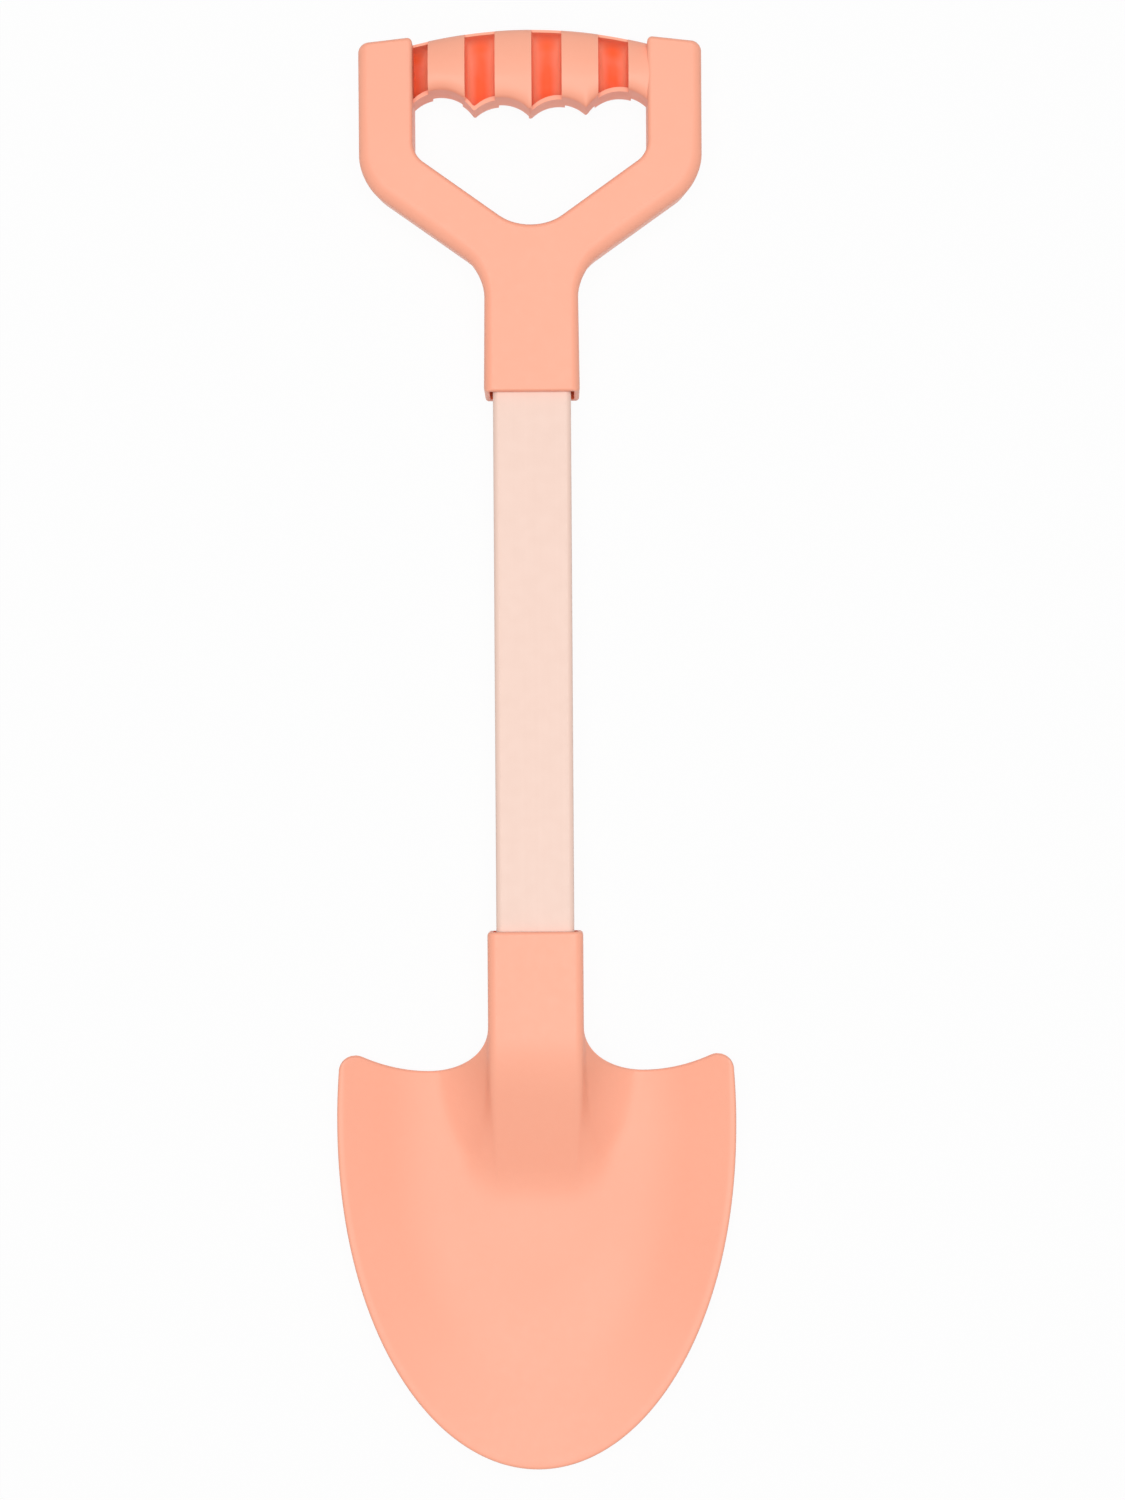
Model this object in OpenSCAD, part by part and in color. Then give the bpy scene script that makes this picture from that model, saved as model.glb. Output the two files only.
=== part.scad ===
// Child's sand shovel: a D handle, a flat rectangular shaft and a dished blade.
// It lies on its back with the scoop up. X runs across the blade, Y along the
// shaft towards the grip, and Z up from the surface under it.

/* [Blade] */
// Width of the blade at its widest
blade_w = 124.6; // [116:0.2:140]
// Length from the tip to the shoulder tops
blade_len = 129.5; // [124:0.5:145]
// Distance from the tip to the widest line
blade_widest = 108.9; // [100:0.1:114]
// Wall of the blade
blade_wall = 2.2; // [1.8:0.1:2.8]
// Slope of the dish at its rim, in degrees
dish_angle = 20; // [12:1:28]
// Flat land round the rim
rim_land = 1.9; // [1.5:0.1:2.4]
// Radius of the shoulders
shoulder_r = 5; // [4:0.5:7]
// How far the sides draw in from the widest line to the shoulders
shoulder_draw = 0.6; // [0.2:0.1:1.5]
// Distance of the valleys in the top edge from the axis
valley_x = 33.5; // [32:0.5:38]
// Depth of those valleys below the shoulder tops
valley_drop = 5.9; // [4:0.1:8]

/* [Blade root] */
// Height of the fillets from the valleys up the socket's sides
fillet_rise = 14.9; // [12:0.1:18]
// Straight length of the lower socket above the fillets
lower_straight = 29.5; // [24:0.5:45]
// Distance from the tip to the foot of the root's front slope
ramp_foot = 86; // [80:0.5:90]
// Tilt of that slope, in degrees
ramp_angle = 23.5; // [22:0.5:28]
// Half width of the flare beside the root
flare_half = 31; // [26:0.5:32]
// Tilt of the flare where it leaves the dish, in degrees
flare_angle = 20; // [14:1:26]
// Tilt of the flare at the socket's side, in degrees
flare_steep = 33; // [30:1:36]

/* [Sockets] */
// Width of both sockets
socket_w = 29.7; // [28.8:0.1:34]
// Depth of both sockets, front to back
socket_d = 20; // [19.6:0.2:23]
// Back wall of the sockets, which the screw heads sink into
socket_back = 3.5; // [3:0.1:3.8]
// Radius of the outer edges of the sockets and the handle
edge_r = 2.8; // [1.6:0.1:3.2]
// Length of shaft held in each socket
seat_len = 34; // [28:0.5:36]
// Clearance between the shaft and a socket
fit_gap = 0.2; // [0.1:0.05:0.3]
// Wider clearance at each socket's mouth
mouth_gap = 1; // [0.5:0.1:1.2]
// Depth of that wider mouth
mouth_len = 8; // [4:0.5:12]

/* [Shaft] */
// Width of the shaft
shaft_w = 24.2; // [22:0.1:24.6]
// Depth of the shaft, front to back
shaft_d = 14; // [12:0.1:14.2]
// Wall of the shaft tube
shaft_wall = 1.6; // [1.2:0.1:2.4]
// Radius of the shaft's long edges
shaft_edge_r = 1.7; // [1:0.1:2.5]
// Length of shaft that shows between the sockets
shaft_show = 167.3; // [80:0.1:400]

/* [Handle] */
// Width across the arms
handle_w = 106.8; // [98:0.2:124]
// Width of each arm
arm_w = 16.8; // [14:0.2:18]
// Slope of the arms where they leave the neck, in degrees
arm_slope = 35.3; // [30:0.1:40]
// Length of the neck from its mouth to the slopes
neck_len = 38.4; // [37:0.1:48]
// Height of the upright arms above the outer bends
arm_rise = 42.1; // [39:0.1:52]
// How much higher an arm's top is at its inner edge
arm_crown = 1.9; // [0:0.1:3]
// Radius of the outer bends
bend_r = 16; // [8:0.5:20]
// Radius of the crotch between the arms
crotch_r = 15; // [8:0.5:20]
// Wall of the arms, which are open at the back
handle_wall = 2.2; // [1.8:0.1:2.8]
// Thickness of the ribs inside the arms
rib_t = 1.4; // [1:0.1:2]

/* [Grip] */
// Depth of the grip, front to back
grip_d = 19.4; // [17:0.2:19.6]
// How far the arms stand above the ends of the grip
grip_step = 2; // [0.5:0.1:4]
// Rise of the grip's top from its ends to its middle
grip_arch = 5.3; // [2:0.1:8]
// Radius of the finger hollows
finger_r = 12; // [11:0.2:14]
// Distance between the two inner finger hollows
finger_pitch = 17.9; // [16:0.1:19]
// Distance of the outer finger hollows from the middle
finger_out = 27.9; // [26.5:0.1:28.5]
// Height of the grip's ends above the inner finger hollows
inner_hollow = 15.3; // [14:0.1:18]
// Height of the grip's ends above the outer finger hollows
outer_hollow = 12.9; // [12:0.1:16]
// Height of the grip's ends above the line where its faces stand furthest out
face_drop = 9.5; // [7:0.1:10]
// Wall round the pockets that lighten the grip
pocket_wall = 1.5; // [1:0.1:2]
// Rib between one pocket and the next
pocket_rib = 1.1; // [0.8:0.1:1.6]
// How far the pockets' rims stand back from the grip's faces
rim_in = 6; // [5:0.1:7]

/* [Fixings] */
// Diameter of the screws
screw_d = 3.5; // [3:0.1:4]
// Length of the screws under the head
screw_len = 12; // [8:0.5:12.5]
// Diameter of the screw heads
head_d = 6.4; // [6:0.1:7]
// Height of the screw heads
head_h = 2; // [1.6:0.1:2.2]
// Length of the plugs in the ends of the shaft
plug_len = 26; // [22:0.5:60]

/* [Hidden] */

// Colours of the moulded coral, the pale shaft, the plugs and the plated screws
coral = "#ffb89f";
pale = "#f7dbcd";
white = "#e9e4de";
steel = "#b9bcc0";

// How far cuts run past a face
overrun = 1;
// How far one solid of a moulding is sunk in another
sink = 0.15;
// Step between the flare and the top edge of the blade
seam = 0.4;
// Radius of small corners
small_r = 0.8;
// Clearance round the plugs and the screws' shanks
plug_gap = 0.1;
// Clearance of the screw holes
hole_gap = 0.2;
// Clearance of the counterbores round the screw heads
head_gap = 0.4;
// Point of the screws
screw_point = 2;
// Recess across the screw heads
recess_w = 1;
recess_len = 3.8;
recess_h = 1.2;
// Chamfer at the plugs' inner ends
plug_lead = 1.5;
// Radii of the neck's fillets and the arms' corners
neck_r = 9;
inner_r = 7;
arm_outer_r = 2.8;
arm_inner_r = 1.4;
least_r = 0.3;
// Rounding inside the arms
core_r = 1.5;
// How far the ribs stop short of the arms' back edge
rib_low = 2;
// How far the grip's faces curve in towards its top and towards its finger hollows
crown_in = 6;
low_in = 3;
// Wall over the pockets
crown_wall = 1.2;
// Half lengths of the easings at the foot and the top of the root's front slope
foot_ease = 5.2;
top_ease = 10;

// Middle and half length of the dish's bend, as shares of its half width
bend_share = 0.61;
bend_half_share = 0.145;
// Power of the curve that the tip follows
tip_power = 2.15;
// Turn of the shoulder from the top edge, in degrees
shoulder_turn = 27;
// Rounding of the inner edges and of the mouth, as shares of the outer edges' rounding
inner_edge_share = 0.55;
mouth_edge_share = 0.3;
// Places of the ribs along an arm's upright and along its slope
upright_rib_shares = [0.3, 0.75];
slope_rib_shares = [0.3, 0.75];
// Number of half cells that the grip is divided into
grip_cells = 7;

blade_half = blade_w / 2;
socket_half = socket_w / 2;
shaft_half = shaft_w / 2;
handle_half = handle_w / 2;
inner_half = handle_half - arm_w;
valley_y = blade_len - valley_drop;
root_y = valley_y + fillet_rise;
lower_mouth = root_y + lower_straight;
upper_mouth = lower_mouth + shaft_show;
lower_seat = lower_mouth - seat_len;
upper_seat = upper_mouth + seat_len;
shaft_len = upper_seat - lower_seat;
shaft_z = socket_back + fit_gap;
neck_y = upper_mouth + neck_len;
bend_y = neck_y + (handle_half - socket_half) * tan(arm_slope);
crotch_y = neck_y - socket_half * tan(arm_slope) + arm_w / cos(arm_slope);
inner_y = crotch_y + inner_half * tan(arm_slope);
arm_top = bend_y + arm_rise;
grip_end = arm_top + arm_crown - grip_step;
overall_len = grip_end + grip_arch;
face_y = grip_end - face_drop;
grip_mid = socket_d / 2;
grip_low = grip_mid - grip_d / 2;
grip_high = grip_mid + grip_d / 2;
cell = 2 * inner_half / grip_cells;
lower_screw_y = lower_mouth - seat_len / 2;
upper_screw_y = upper_mouth + seat_len / 2;
head_z = head_h + plug_gap;

// Moves a piece from the tip's frame to the middle of the shovel
module place() {
    translate([0, -overall_len / 2, 0])
        children();
}

// One seamless moulding, held to its stated width
module moulded(width) {
    resize([width, 0, 0])
        children();
}

// Solid through a stack of rings, each with as many points as the next
module skin(rings) {
    n = len(rings[0]);
    last = len(rings) - 1;
    polyhedron(
        points = [for (ring = rings) each ring],
        faces = concat(
            [[for (i = [0 : n - 1]) i]],
            [for (k = [0 : last - 1], i = [0 : n - 1])
                each quad(k * n + i, (k + 1) * n + i, (k + 1) * n + (i + 1) % n, k * n + (i + 1) % n)],
            [[for (i = [n - 1 : -1 : 0]) last * n + i]]
        )
    );
}

function quad(a, b, c, d) = [[a, b, c], [a, c, d]];
function unit(v) = v / norm(v);
function left_of(v) = [-v.y, v.x];
function reversed(list) = [for (i = [len(list) - 1 : -1 : 0]) list[i]];
// Ramp that is zero before a bend and rises one for one after it, eased over the bend
function eased(t, bend, half) =
    t <= bend - half ? 0 : t >= bend + half ? t - bend : pow(t - bend + half, 2) / (4 * half);
function with_z(points, z) = [for (p = points) [p.x, p.y, z]];

// Outline with each edge moved inwards by its own distance
function inset(points, distances) =
    let (n = len(points))
    [for (i = [0 : n - 1])
        let (
            h = (i + n - 1) % n,
            before = left_of(unit(points[i] - points[h])),
            after = left_of(unit(points[(i + 1) % n] - points[i])),
            c = before * after
        )
        points[i] + (distances[h] * (before - c * after) + distances[i] * (after - c * before)) / (1 - c * c)];

// Arc of n steps that rounds the corner b between a and c
function corner(a, b, c, r, n) =
    let (
        u = unit(a - b),
        v = unit(c - b),
        half = acos(u * v) / 2,
        middle = b + unit(u + v) * r / sin(half),
        from = b + u * r / tan(half) - middle,
        sweep = sign(cross(b - a, c - b)) * (180 - 2 * half)
    )
    [for (k = [0 : n])
        let (turn = atan2(from.y, from.x) + sweep * k / n)
        middle + r * [cos(turn), sin(turn)]];

// Outline moved inwards, with its corners rounded about the same centres
function rounded(points, radii, steps, distances) =
    let (
        n = len(points),
        moved = inset(points, distances)
    )
    [for (i = [0 : n - 1])
        let (
            a = moved[(i + n - 1) % n],
            b = moved[i],
            c = moved[(i + 1) % n],
            in = (distances[(i + n - 1) % n] + distances[i]) / 2,
            convex = cross(b - a, c - b) > 0,
            r = convex ? max(radii[i] - in, least_r) : radii[i] + in
        )
        each corner(a, b, c, r, steps[i])];

// Height of the dish's upper face at a point of the blade
function spread(x, y) =
    sqrt(pow(x / blade_half, 2) + pow(max(0, 1 - y / blade_widest), tip_power));
function dish(x, y) =
    blade_wall + tan(dish_angle) * blade_half * eased(spread(x, y), bend_share, bend_half_share);

// Top edge of the blade: fillet by the socket, valley, and round shoulder
shoulder_x = blade_half - shoulder_draw - shoulder_r;
shoulder_y = blade_len - shoulder_r;
turn_x = shoulder_x - shoulder_r * sin(shoulder_turn);
turn_y = shoulder_y + shoulder_r * cos(shoulder_turn);
function fillet_x(y) =
    valley_x - (valley_x - socket_half) * sqrt(1 - pow(min(1, (root_y - y) / fillet_rise), 2));
function top_edge(x) =
    x <= socket_half ? root_y
    : x <= valley_x ? root_y - fillet_rise * sqrt(1 - pow((valley_x - x) / (valley_x - socket_half), 2))
    : x <= turn_x ? valley_y + (turn_y - valley_y) * pow((x - valley_x) / (turn_x - valley_x), 2)
    : shoulder_y + sqrt(max(0, pow(shoulder_r, 2) - pow(x - shoulder_x, 2)));

// One nested U of the blade, a given distance inside its outline
leg_steps = 5;
bow_steps = 36;
function leg(in) =
    let (top = top_edge(blade_half - shoulder_draw - in))
    [for (k = [0 : leg_steps - 1])
        let (s = k / leg_steps)
        [blade_half - in - shoulder_draw * pow(1 - s, 2), top + (blade_widest - top) * s]];
function bow(in) =
    [for (k = [0 : bow_steps])
        let (turn = 180 * k / bow_steps)
        [-(blade_half - in) * cos(turn), blade_widest - (blade_widest - in) * pow(sin(turn), 2 / tip_power)]];
function nested(in) =
    concat([for (p = leg(in)) [-p.x, p.y]], bow(in), reversed(leg(in)));

// Distances inside the outline: round shoulder, land, slope to the valley, fillet, axis
shoulder_ins = [for (turn = [0 : 18 : 90]) shoulder_r * (1 - cos(turn))];
slope_steps = 6;
valley_in = blade_half - shoulder_draw - valley_x;
ins = concat(
    [for (d = shoulder_ins) if (d < rim_land - sink) d],
    [rim_land],
    [for (d = shoulder_ins) if (d > rim_land + sink) d],
    [for (k = [1 : slope_steps]) shoulder_r + (valley_in - shoulder_r) * k / slope_steps],
    [for (turn = [15 : 15 : 90]) valley_in + (valley_x - socket_half) * sin(turn)],
    [blade_half - shoulder_draw - socket_half / 2, blade_half - 2 * shoulder_draw - small_r]
);

// Dished sheet of the blade, from its outline in to its axis
module dished_sheet() {
    rings = len(ins);
    cols = len(nested(0));
    inner = rings - 1;
    half = (cols - 1) / 2;
    under = rings * cols;
    front = [for (in = ins)
        let (ring = nested(in), land = nested(max(in, rim_land)))
        for (j = [0 : cols - 1]) [ring[j].x, ring[j].y, dish(land[j].x, land[j].y)]];
    back = [for (in = ins, p = nested(in)) [p.x, p.y, dish(p.x, p.y) - blade_wall]];
    polyhedron(
        points = concat(front, back),
        faces = concat(
            [for (i = [0 : inner - 1], j = [0 : cols - 2])
                let (a = i * cols + j, b = a + cols)
                each concat(
                    quad(a, b, b + 1, a + 1),
                    quad(under + a, under + a + 1, under + b + 1, under + b)
                )],
            [for (j = [0 : cols - 2]) each quad(under + j, j, j + 1, under + j + 1)],
            [for (i = [0 : inner - 1])
                let (a = i * cols, b = a + cols, c = a + cols - 1, d = c + cols)
                each concat(
                    quad(under + b, b, a, under + a),
                    quad(under + c, c, d, under + d)
                )],
            [for (j = [0 : half - 1])
                let (a = inner * cols + j, b = inner * cols + cols - 1 - j)
                each j < half - 1
                    ? concat(
                        quad(a, b, b - 1, a + 1),
                        quad(under + a, under + a + 1, under + b - 1, under + b)
                    )
                    : [[a, b, a + 1], [under + a, under + a + 1, under + b]]],
            quad(under + rings * cols - 1, rings * cols - 1, inner * cols, under + inner * cols)
        )
    );
}

// Root of the blade: the socket's front slopes down to the dish, with a flare each side
ramp_top = ramp_foot + (socket_d - blade_wall) / tan(ramp_angle);
flare_curl = (tan(flare_steep) - tan(flare_angle)) / (2 * (flare_half - socket_half));
flare_top = root_y - fillet_rise / 3;
function ramp(y) =
    blade_wall + tan(ramp_angle) * (eased(y, ramp_foot, foot_ease) - eased(y, ramp_top, top_ease));
function crease_x(y) =
    flare_half * sqrt(max(0, 1 - pow(max(0, valley_y - y) / (valley_y - ramp_foot), 2)));
function flare(x, y) =
    let (in = max(0, crease_x(y) - x))
    min(dish(x, y) + tan(flare_angle) * in + flare_curl * in * in, max(ramp(y) - seam, dish(x, y)));
function flare_x(y) =
    max(socket_half + seam, min(crease_x(y), y > valley_y ? fillet_x(y) - seam : crease_x(y)));

// Half of a cross-section of the root, from its outer edge up to its flat front
flare_steps = 6;
edge_steps = 4;
function root_side(y, top) =
    let (
        reach = flare_x(y),
        r = min(edge_r, max(top - flare(socket_half, y), sink))
    )
    concat(
        [[reach, dish(reach, y) - sink]],
        [for (k = [1 : flare_steps])
            let (x = reach + (socket_half - reach) * k / flare_steps)
            [x, min(flare(x, y), top - r)]],
        [for (k = [1 : edge_steps])
            let (turn = 90 * k / edge_steps)
            [socket_half - r + r * cos(turn), top - r + r * sin(turn)]]
    );
function root_ring(y, top) =
    let (
        side = root_side(y, top),
        ring = concat(
            [[-side[0].x, blade_wall / 2], [side[0].x, blade_wall / 2]],
            side,
            [for (p = reversed(side)) [-p.x, p.y]]
        )
    )
    [for (p = ring) [p.x, y, p.y]];
root_steps = 26;
root_low = ramp_foot - foot_ease;
module root() {
    skin(concat(
        [for (k = [0 : root_steps - 1])
            let (y = flare_top + (root_low - flare_top) * k / root_steps)
            root_ring(y, ramp(y))],
        [root_ring(root_low, blade_wall - sink)]
    ));
}

// Hollow under the root, open at the back, with a rib along the axis
core_steps = 16;
core_half = socket_half - blade_wall;
core_top = lower_seat - blade_wall;
core_low = ramp_foot + foot_ease;
function core_ring(y) =
    let (
        edge = y > valley_y ? fillet_x(y) - seam : crease_x(y),
        reach = max(core_half + seam, edge - blade_wall),
        top = ramp(y) - blade_wall / cos(ramp_angle),
        side = concat(
            [[reach, 0]],
            [for (k = [1 : flare_steps])
                let (x = reach + (core_half - reach) * k / flare_steps)
                [x, max(0, min(flare(max(x, socket_half), y) - blade_wall / cos(flare_steep), top - sink))]],
            [[core_half, top]]
        ),
        ring = concat(
            [[-reach, -overrun], [reach, -overrun]],
            [for (p = side) [p.x, max(p.y, -overrun / 2)]],
            [for (p = reversed(side)) [-p.x, max(p.y, -overrun / 2)]]
        )
    )
    [for (p = ring) [p.x, y, p.y]];
module root_core() {
    difference() {
        skin([for (k = [0 : core_steps]) core_ring(core_top + (core_low - core_top) * k / core_steps)]);
        translate([-rib_t / 2, 0, blade_wall / 2])
            cube([rib_t, root_y, socket_d]);
    }
}

// Rounded box of a socket, from one Y to another
function box_ring(y, in) =
    let (
        w = socket_half,
        ring = rounded(
            [[-w, 0], [w, 0], [w, socket_d], [-w, socket_d]],
            [small_r, small_r, edge_r, edge_r],
            [2, 2, edge_steps, edge_steps],
            [in, in, in, in]
        )
    )
    [for (p = ring) [p.x, y, p.y]];
module lower_box() {
    skin([
        box_ring(lower_mouth, small_r / 2),
        box_ring(lower_mouth - small_r / 2, 0),
        box_ring(flare_top - sink, 0)
    ]);
}

// Space for one end of the shaft, which runs from its mouth along +Y, wider at the mouth
module seat() {
    translate([-shaft_half - fit_gap, -overrun, shaft_z - fit_gap])
        cube([shaft_w + 2 * fit_gap, seat_len + overrun, shaft_d + 2 * fit_gap]);
    translate([-shaft_half - mouth_gap, -overrun, shaft_z - fit_gap])
        cube([shaft_w + 2 * mouth_gap, mouth_len + overrun, shaft_d + 2 * fit_gap]);
}

// Counterbored screw hole through a socket's back wall
module screw_hole() {
    translate([0, 0, -overrun])
        cylinder(d = head_d + head_gap, h = head_z + overrun, $fn = 48);
    cylinder(d = screw_d + 2 * hole_gap, h = socket_back + overrun, $fn = 48);
}

module blade() {
    color(coral)
        place()
            difference() {
                moulded(blade_w)
                    difference() {
                        union() {
                            dished_sheet();
                            root();
                            lower_box();
                        }
                        root_core();
                        translate([0, lower_mouth, 0])
                            mirror([0, 1, 0])
                                seat();
                    }
                translate([0, lower_screw_y, 0])
                    screw_hole();
            }
}

// Cross-section of the shaft, or of a plug inside it
module bar_section(w, d, r) {
    square([w - 2 * r, d], center = true);
    square([w, d - 2 * r], center = true);
    for (sx = [-1, 1], sy = [-1, 1])
        translate([sx * (w / 2 - r), sy * (d / 2 - r)])
            circle(r = r, $fn = 48);
}

// Bar of that section along +Y, with its middle at the shaft's height
module bar(w, d, r, length) {
    translate([0, 0, shaft_z + shaft_d / 2])
        rotate([-90, 0, 0])
            linear_extrude(height = length)
                bar_section(w, d, r);
}

bore_w = shaft_w - 2 * shaft_wall;
bore_d = shaft_d - 2 * shaft_wall;
bore_r = max(shaft_edge_r - shaft_wall, small_r);
module shaft() {
    color(pale)
        place()
            difference() {
                translate([0, lower_seat, 0])
                    bar(shaft_w, shaft_d, shaft_edge_r, shaft_len);
                translate([0, lower_seat - overrun, 0])
                    bar(bore_w, bore_d, bore_r, shaft_len + 2 * overrun);
                for (y = [lower_screw_y, upper_screw_y])
                    translate([0, y, shaft_z - overrun])
                        cylinder(d = screw_d + 2 * hole_gap, h = shaft_wall + 2 * overrun, $fn = 48);
            }
}

// Plug in one end of the shaft, which runs from that end along +Y
module plug(screw_at) {
    w = bore_w - 2 * plug_gap;
    d = bore_d - 2 * plug_gap;
    difference() {
        union() {
            bar(w, d, bore_r, plug_len - plug_lead);
            bar(w - plug_lead, d - plug_lead, bore_r, plug_len);
        }
        translate([0, screw_at, 0])
            cylinder(d = screw_d + 2 * plug_gap, h = head_z + screw_len + plug_gap, $fn = 48);
    }
}

module lower_plug() {
    color(white)
        place()
            translate([0, lower_seat, 0])
                plug(seat_len / 2);
}

module upper_plug() {
    color(white)
        place()
            translate([0, upper_seat, 0])
                mirror([0, 1, 0])
                    plug(seat_len / 2);
}

// Pan-head screw, driven up from the back, with a cross recess
module screw() {
    difference() {
        union() {
            translate([0, 0, plug_gap])
                cylinder(d1 = head_d - head_gap, d2 = head_d, h = head_h / 2, $fn = 48);
            translate([0, 0, plug_gap + head_h / 2])
                cylinder(d = head_d, h = head_h / 2, $fn = 48);
            translate([0, 0, plug_gap + head_h / 2])
                cylinder(d = screw_d, h = head_h / 2 + screw_len - screw_point, $fn = 48);
            translate([0, 0, head_z + screw_len - screw_point])
                cylinder(d1 = screw_d, d2 = small_r, h = screw_point, $fn = 48);
        }
        for (turn = [0, 90])
            rotate(turn)
                translate([-recess_len / 2, -recess_w / 2, -overrun])
                    cube([recess_len, recess_w, recess_h + overrun]);
    }
}

module lower_screw() {
    color(steel)
        place()
            translate([0, lower_screw_y, 0])
                screw();
}

module upper_screw() {
    color(steel)
        place()
            translate([0, upper_screw_y, 0])
                screw();
}

// Outline of the handle's yoke: neck, two sloping arms and two uprights
yoke_right = [
    [socket_half, upper_mouth],
    [socket_half, neck_y],
    [handle_half, bend_y],
    [handle_half, arm_top],
    [inner_half, arm_top + arm_crown],
    [inner_half, inner_y]
];
yoke_corners = concat(yoke_right, [[0, crotch_y]], [for (p = reversed(yoke_right)) [-p.x, p.y]]);
yoke_radii_right = [small_r, neck_r, bend_r, arm_outer_r, arm_inner_r, inner_r];
yoke_radii = concat(yoke_radii_right, [crotch_r], reversed(yoke_radii_right));
yoke_steps_right = [2, 5, 8, 4, 3, 5];
yoke_steps = concat(yoke_steps_right, [8], reversed(yoke_steps_right));
// Rounding of each edge, in the order of the corners, as shares of the outer edges' rounding
yoke_edge_shares = concat(
    [1, 1, 1, 1],
    [for (k = [1 : 4]) inner_edge_share],
    [1, 1, 1, 1, mouth_edge_share]
);
function yoke_outline(in) = rounded(yoke_corners, yoke_radii, yoke_steps, in * yoke_edge_shares);
function yoke_inside(in) = rounded(yoke_corners, yoke_radii, yoke_steps, [for (s = yoke_edge_shares) in]);
round_steps = 4;
module yoke() {
    skin(concat(
        [with_z(yoke_outline(small_r), 0), with_z(yoke_outline(0), small_r)],
        [for (k = [0 : round_steps])
            let (turn = 90 * k / round_steps)
            with_z(yoke_outline(edge_r * (1 - cos(turn))), socket_d - edge_r + edge_r * sin(turn))]
    ));
}

// Rib across an arm, with its middle at a point of the arm's inner edge
module arm_rib(at, turn) {
    translate(at)
        rotate(turn)
            translate([-arm_w, -rib_t / 2, rib_low])
                cube([3 * arm_w, rib_t, socket_d]);
}

// Hollow inside the arms, open at the back, with its cross ribs
module arm_hollow() {
    low = upper_seat + handle_wall;
    difference() {
        intersection() {
            skin(concat(
                [with_z(yoke_inside(handle_wall), -overrun)],
                [for (k = [0 : round_steps])
                    let (turn = 90 * k / round_steps)
                    with_z(
                        yoke_inside(handle_wall + core_r * (1 - cos(turn))),
                        socket_d - handle_wall - core_r + core_r * sin(turn)
                    )]
            ));
            translate([-handle_w, low, -socket_d])
                cube([2 * handle_w, overall_len, 3 * socket_d]);
        }
        for (side = [0, 1])
            mirror([side, 0, 0]) {
                for (s = upright_rib_shares)
                    arm_rib([inner_half, inner_y + (arm_top - inner_y) * s], 0);
                for (s = slope_rib_shares)
                    arm_rib([inner_half * s, crotch_y + (inner_y - crotch_y) * s], arm_slope - 90);
            }
        translate([-rib_t / 2, 0, rib_low])
            cube([rib_t, overall_len, socket_d]);
    }
}

// Underside and top of the grip
function hollow(x, at, top) =
    top - finger_r + sqrt(max(0, pow(finger_r, 2) - pow(x - at, 2)));
function grip_under(x) =
    max(
        hollow(abs(x), finger_pitch / 2, grip_end - inner_hollow),
        hollow(abs(x), finger_out, grip_end - outer_hollow)
    );
function grip_over(x) =
    grip_end + grip_arch * (1 - pow(x / inner_half, 2));

// Front half of a cross-section of the grip, from its top round to its underside
function grip_front(x, top_wall, wall) =
    let (
        over = grip_over(x) - top_wall,
        under = grip_under(x) + wall
    )
    concat(
        [for (k = [0 : round_steps])
            let (turn = 90 * k / round_steps)
            [
                face_y + (over - face_y) * cos(turn),
                grip_high - crown_in + (crown_in - wall) * sin(turn)
            ]],
        [for (k = [1 : round_steps])
            let (turn = 90 + 90 * k / round_steps)
            [
                face_y + (face_y - under) * cos(turn),
                grip_high - low_in + (low_in - wall) * sin(turn)
            ]]
    );
function grip_ring(x) =
    let (front = grip_front(x, 0, 0))
    concat(
        [for (p = front) [x, p.x, p.y]],
        [for (p = reversed(front)) [x, p.x, 2 * grip_mid - p.y]]
    );
grip_steps = 60;
module grip_bar() {
    half = inner_half + handle_wall - sink;
    skin([for (k = [0 : grip_steps]) grip_ring(half * (2 * k / grip_steps - 1))]);
}

// Pocket between two ribs of the grip, open to the back, with its rim set back
pocket_steps = 8;
function pocket_ring(x) =
    let (front = grip_front(x, crown_wall, pocket_wall))
    concat(
        [[x, front[0].x, -overrun]],
        [for (p = front) [x, p.x, p.y]],
        [[x, front[len(front) - 1].x, -overrun]]
    );
module pocket(from, to) {
    skin([for (k = [0 : pocket_steps]) pocket_ring(from + (to - from) * k / pocket_steps)]);
    translate([from, face_y - arm_rise, -overrun])
        cube([to - from, 2 * arm_rise, grip_low + rim_in + overrun]);
}
module pockets() {
    for (k = [0 : grip_cells]) {
        from = max(-inner_half, (k - (grip_cells + 1) / 2) * cell + pocket_rib / 2);
        to = min(inner_half, (k - (grip_cells - 1) / 2) * cell - pocket_rib / 2);
        front = 1 - k % 2;
        translate([0, 0, 2 * grip_mid * front])
            mirror([0, 0, front])
                pocket(from, to);
    }
}

module d_handle() {
    color(coral)
        place()
            difference() {
                moulded(handle_w) {
                    difference() {
                        yoke();
                        arm_hollow();
                        translate([0, upper_mouth, 0])
                            seat();
                    }
                    difference() {
                        grip_bar();
                        pockets();
                    }
                }
                translate([0, upper_screw_y, 0])
                    screw_hole();
            }
}

blade();
shaft();
d_handle();
upper_plug();
lower_plug();
upper_screw();
lower_screw();
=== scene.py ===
import math

import bmesh
import bpy
from mathutils import Matrix, Vector


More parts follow.
